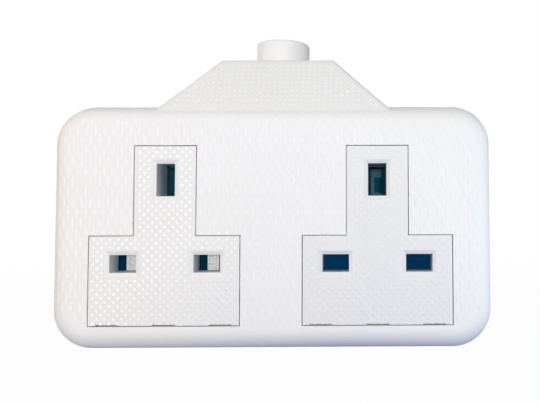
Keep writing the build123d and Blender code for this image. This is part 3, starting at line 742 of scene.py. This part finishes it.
class SOCKET_OT_lozenges(bpy.types.Operator):
    """Raised lozenges that cover the front of the case"""
    bl_idname = "trailing_socket.lozenges"
    bl_label = "Cover Lozenges"

    def execute(self, context):
        grip, sizes = context.scene.socket_grip, context.scene.socket_sizes
        colours = context.scene.socket_colours
        low, high = grip.field_bottom, CASE_TOP - grip.field_top
        half = Vector((CASE_HALF - grip.field_side, 0.0, (high - low) / 2))
        middle_row = CASE_TOP - grip.first_row - STEPS_TO_MIDDLE * grip.lozenge_rows
        # The lozenges are painted whiter than the case as a highlight, fading into the case colour towards
        # the lower right
        finish = moulded_plastic("lozenge_white_plastic", colours.grip, rough=(0.48, 0.56), grain=0.05,
                                 fade=(colours.case, *COVER_FADE))
        piece = grow("cover_lozenges", lozenge_tree(finish), window_prisms(sizes, high), {
            "Cover": NODES["front_cover"],
            "Columns": 2 * math.ceil(half.x / grip.lozenge_pitch), "Rows": LOZENGE_ROW_STEPS,
            "Pitch": grip.lozenge_pitch, "Row Pitch": grip.lozenge_rows,
            "Width": grip.lozenge_width, "Length": grip.lozenge_length, "Relief": grip.lozenge_relief,
            "Lattice": (0.0, FRONT - STAND_OFF, middle_row),
            "Centre": (0.0, FRONT - STAND_OFF, (low + high) / 2),
            "Half Field": half, "Corner": grip.field_corner,
        })
        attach(piece, "housing")
        return {"FINISHED"}


class SOCKET_OT_pips(bpy.types.Operator):
    """Small raised pips on both faces and on the cord entry"""
    bl_idname = "trailing_socket.pips"
    bl_label = "Face and Entry Pips"

    def execute(self, context):
        grip, sizes = context.scene.socket_grip, context.scene.socket_sizes
        colours = context.scene.socket_colours
        shared = {"Diameter": grip.pip_diameter, "Segments": grip.pip_segments}
        # The left pips are painted whiter as a highlight, which fades into the face colour towards the lower
        # right
        painted_highlight_pips = moulded_plastic("pip_white_plastic", colours.pip, rough=(0.32, 0.4), grain=0.04,
                                   fade=(colours.face, *LEFT_FADE))
        # The right pips are painted a little whiter as a highlight, fading into the face colour towards the
        # lower right
        soft = moulded_plastic("soft_pip_white_plastic", colours.soft_pip, rough=(0.5, 0.58), grain=0.04,
                               fade=(colours.painted_shade_face, *RIGHT_FADE))
        # The entry pips are painted whiter than the entry as a highlight
        square = moulded_plastic("entry_pip_white_plastic", colours.entry_pip, rough=(0.4, 0.48), grain=0.04)
        middle = (sizes.bottom + sizes.top) / 2
        for side, centre, finish, relief in (("left", -sizes.offset, painted_highlight_pips, grip.pip_relief),
                                             ("right", sizes.offset, soft, grip.soft_pip_relief)):
            seed = rectangles_mesh(f"pip_field_{side}", tee_rectangles(sizes, centre, grip.pip_border),
                                   slot_rectangles(sizes, centre, grip.slot_border), FRONT)
            piece = grow(f"face_pips_{side}", pip_tree(finish, STAGGERED), seed, {
                **shared, "Relief": relief, "Pitch": grip.pip_pitch, "Row Pitch": grip.pip_pitch,
                "Columns": 2 * math.ceil(sizes.base_width / 2 / grip.pip_pitch),
                "Rows": 2 * math.ceil((sizes.top - sizes.bottom) / 2 / grip.pip_pitch),
                "Centre": (centre, FRONT - STAND_OFF, middle),
            })
            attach(piece, "housing")
        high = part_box("cord_entry_cover")[1]
        field = self.entry_field(grip.pip_border)
        pitch = grip.pip_pitch / math.sqrt(2)
        row_pitch = pitch * abs(field.polygons[0].normal.y)
        piece = grow("entry_pips", pip_tree(square, SQUARE), field, {
            **shared, "Relief": grip.pip_relief, "Pitch": pitch, "Row Pitch": row_pitch,
            "Columns": 2 * math.ceil(high.x / pitch),
            "Rows": 2 * math.ceil((high.z - CASE_TOP) / 2 / row_pitch),
            "Centre": (0.0, FRONT - STAND_OFF, (CASE_TOP + high.z) / 2),
        })
        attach(piece, "housing")
        return {"FINISHED"}

    def entry_field(self, border):
        """Sloping front of the cord entry, less a border."""
        mesh = NODES["cord_entry_cover"].data
        slope = max((p for p in mesh.polygons if p.normal.y < FRONT_FACING), key=lambda p: p.area)
        n, reach = slope.normal, slope.normal.dot(slope.center)
        level = [p for p in mesh.polygons if p.normal.dot(n) > SAME_PLANE]
        points = [mesh.vertices[k].co for p in level for k in p.vertices]
        low, high = min(v.z for v in points), max(v.z for v in points)
        foot_half = max(v.x for v in points if v.z < low + border) - 2 * border
        top_half = max(v.x for v in points if v.z > high - border) - border
        corners = [(-foot_half, low + border), (foot_half, low + border), (top_half, high - border),
                   (-top_half, high - border)]
        on_slope = [(x, (reach - n.x * x - n.z * z) / n.y, z) for x, z in corners]
        field = bpy.data.meshes.new("entry_pip_field")
        field.from_pydata(on_slope, [], [(0, 1, 2, 3)])
        return field


class SOCKET_OT_stage(bpy.types.Operator):
    """Floor, backdrop, lamps and camera"""
    bl_idname = "trailing_socket.stage"
    bl_label = "Studio"

    def execute(self, context):
        studio = context.scene.socket_studio
        self.sweep(studio)
        for name, kind, place, size in LAMPS:
            power, colour = getattr(studio, f"{kind}_power"), getattr(studio, f"{kind}_colour")
            self.lamp(name, place, size, power, colour)
        self.world(context, studio)
        self.camera(context, studio)
        context.scene.view_settings.view_transform = "Standard"
        return {"FINISHED"}

    def sweep(self, studio):
        """Floor that curves up into a backdrop.

        It is seen as white with a faint shadow near the part, and throws a tinted light on the underside.
        """
        profile = [(FLOOR_FRONT, 0.0), (FLOOR_BACK, 0.0)]
        for k in range(1, SWEEP_STEPS + 1):
            turn = math.radians(90.0 / SWEEP_STEPS * k)
            back, up = SWEEP_RADIUS * math.sin(turn), SWEEP_RADIUS * (1 - math.cos(turn))
            profile.append((FLOOR_BACK + back, up))
        profile.append((FLOOR_BACK + SWEEP_RADIUS, BACKDROP_TOP))
        points = [(x, y, z) for y, z in profile for x in (-FLOOR_HALF, FLOOR_HALF)]
        faces = [(2 * k, 2 * k + 1, 2 * k + 3, 2 * k + 2) for k in range(len(profile) - 1)]
        mesh = bpy.data.meshes.new("floor_sweep")
        mesh.from_pydata(points, [], faces)
        for face in mesh.polygons:
            face.use_smooth = True
        floor = bpy.data.objects.new("floor_sweep", mesh)
        bpy.context.scene.collection.objects.link(floor)
        colours = (studio.floor_left, studio.floor_middle, studio.floor_right)

        def build(tree, place):
            across = add_node(tree, "ShaderNodeSeparateXYZ", {"Vector": place}).outputs["X"]
            base = ramp(tree, map_range(tree, across, *FLOOR_TURN), list(zip(FLOOR_STOPS, colours)))
            paper = add_node(tree, "ShaderNodeBsdfDiffuse", {"Color": base}).outputs[0]
            light = add_node(tree, "ShaderNodeEmission", {"Color": WHITE, "Strength": 1.0}).outputs[0]
            away = vector_node(tree, "LENGTH", place)
            white = map_range(tree, away, SHADOW_NEAR, SHADOW_FAR, low=SHADOW_WHITE)
            share = math_node(tree, "MULTIPLY", seen_share(tree), white)
            return add_node(tree, "ShaderNodeMixShader", {0: share, 1: paper, 2: light}).outputs[0]

        mesh.materials.append(shader("floor_paper", build))

    def lamp(self, name, place, size, power, colour):
        """Square soft lamp aimed at the middle of the part."""
        light = bpy.data.lights.new(name, "AREA")
        light.size = size
        light.energy = power
        light.color = colour
        lamp = bpy.data.objects.new(name, light)
        lamp.location = place
        lamp.visible_camera = False
        lamp.rotation_euler = (Vector(LAMP_AIM) - Vector(place)).to_track_quat("-Z", "Y").to_euler()
        bpy.context.scene.collection.objects.link(lamp)

    def world(self, context, studio):
        """Even ambient light, seen as white."""
        world = bpy.data.worlds.new("studio_white")
        world.use_nodes = True
        tree = world.node_tree
        tree.nodes.clear()
        soft, white = (
            add_node(tree, "ShaderNodeBackground", {"Color": WHITE, "Strength": strength}).outputs[0]
            for strength in (studio.ambient, 1.0))
        both = add_node(tree, "ShaderNodeMixShader", {0: seen_share(tree), 1: soft, 2: white}).outputs[0]
        add_node(tree, "ShaderNodeOutputWorld", {"Surface": both})
        context.scene.world = world

    def camera(self, context, studio):
        """Camera a little right of the middle, nearly square to the front."""
        data = bpy.data.cameras.new("front_camera")
        data.sensor_width = SENSOR_WIDTH
        data.lens = studio.lens
        data.shift_x, data.shift_y = studio.shift
        data.clip_start, data.clip_end = CLIP_NEAR, CLIP_FAR
        camera = bpy.data.objects.new("front_camera", data)
        pitch, yaw, roll = studio.pitch, studio.yaw, studio.roll
        level = math.cos(pitch)
        forward = Vector((math.sin(yaw) * level, math.cos(yaw) * level, math.sin(pitch)))
        level_right = forward.cross(Vector(UP)).normalized()
        level_up = level_right.cross(forward)
        right = math.cos(roll) * level_right + math.sin(roll) * level_up
        up = math.cos(roll) * level_up - math.sin(roll) * level_right
        turn = Matrix((right, up, -forward)).transposed().to_4x4()
        camera.matrix_world = Matrix.Translation(studio.camera_place) @ turn
        context.scene.collection.objects.link(camera)
        context.scene.camera = camera


class SOCKET_PT_panel(bpy.types.Panel):
    """Sidebar panel that lists the steps"""
    bl_idname = "SOCKET_PT_panel"
    bl_label = "Trailing Socket"
    bl_space_type = "VIEW_3D"
    bl_region_type = "UI"
    bl_category = "Trailing Socket"

    def draw(self, context):
        for step in STEPS:
            self.layout.operator(step.bl_idname)


GROUPS = (("socket_sizes", FaceSizes), ("socket_grip", GripSizes), ("socket_colours", FinishColours),
          ("socket_studio", StudioSettings))
STEPS = (SOCKET_OT_case, SOCKET_OT_faces, SOCKET_OT_gland, SOCKET_OT_shutters, SOCKET_OT_metalwork,
         SOCKET_OT_lozenges, SOCKET_OT_pips, SOCKET_OT_stage)


def register():
    for name, group in GROUPS:
        bpy.utils.register_class(group)
        setattr(bpy.types.Scene, name, PointerProperty(type=group))
    for item in (*STEPS, SOCKET_PT_panel):
        bpy.utils.register_class(item)


def unregister():
    for item in reversed((*STEPS, SOCKET_PT_panel)):
        bpy.utils.unregister_class(item)
    for name, group in reversed(GROUPS):
        delattr(bpy.types.Scene, name)
        bpy.utils.unregister_class(group)


def main():
    """Registers the add-on and runs its steps."""
    register()
    steps = bpy.ops.trailing_socket
    for run in (steps.case, steps.faces, steps.gland, steps.shutters, steps.metalwork, steps.lozenges,
                steps.pips, steps.stage):
        run()


if __name__ == "__main__":
    main()
